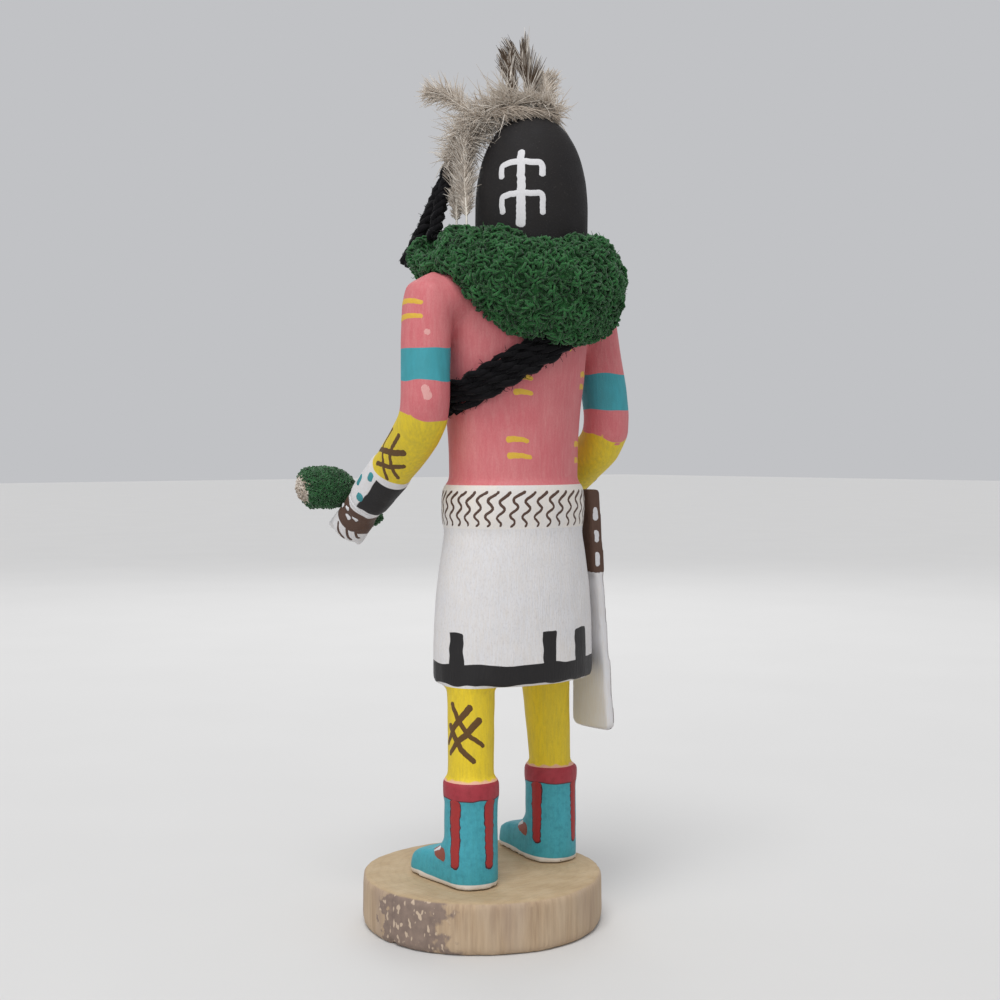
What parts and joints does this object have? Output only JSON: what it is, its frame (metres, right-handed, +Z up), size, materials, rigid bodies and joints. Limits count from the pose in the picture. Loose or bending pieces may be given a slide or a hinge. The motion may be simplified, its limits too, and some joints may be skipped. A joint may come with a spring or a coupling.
{
  "type": "kachina doll",
  "caption": "Carved and painted wooden figure with a domed mask, yarn collar, yarn bandolier, kilt, sash panel and boots, standing on a round slice of wood.",
  "frame": {"origin": "centre of the underside of the wood slice", "axes": "+Z up, the doll's body faces -Y, its left side is +X; the mask alone is turned 50 degrees to the doll's right"},
  "size_m": [0.0904, 0.0871, 0.2664],
  "materials": {
    "sawn_wood": "bare sawn end grain on top, debarked and lightly stained side",
    "painted_wood": "matte hand-brushed acrylic: pink body, white kilt and belt, black mask, yellow legs and forearms, turquoise boots",
    "painted_panel": "matte white paint, brown at the top with white marks",
    "green_yarn": "curly looped wool",
    "black_yarn": "soft twisted yarn",
    "green_fuzz": "short fuzzy fibres with a beige core",
    "feather_down": "brown-barred and grey-beige down"
  },
  "bodies": {
    "root": {"base_slice": "sawn_wood", "carved_figure": "painted_wood", "hip_sash": "painted_panel", "yarn_ruff": "green_yarn", "bandolier": "black_yarn", "hair_strand_long": "black_yarn", "hair_strand_short": "black_yarn", "green_sprig": "green_fuzz", "crown_tuft": "feather_down", "crown_feather_1": "feather_down", "crown_feather_2": "feather_down", "crown_feather_3": "feather_down", "crown_feather_4": "feather_down", "side_feather_1": "feather_down", "side_feather_2": "feather_down"}
  },
  "joints": []
}
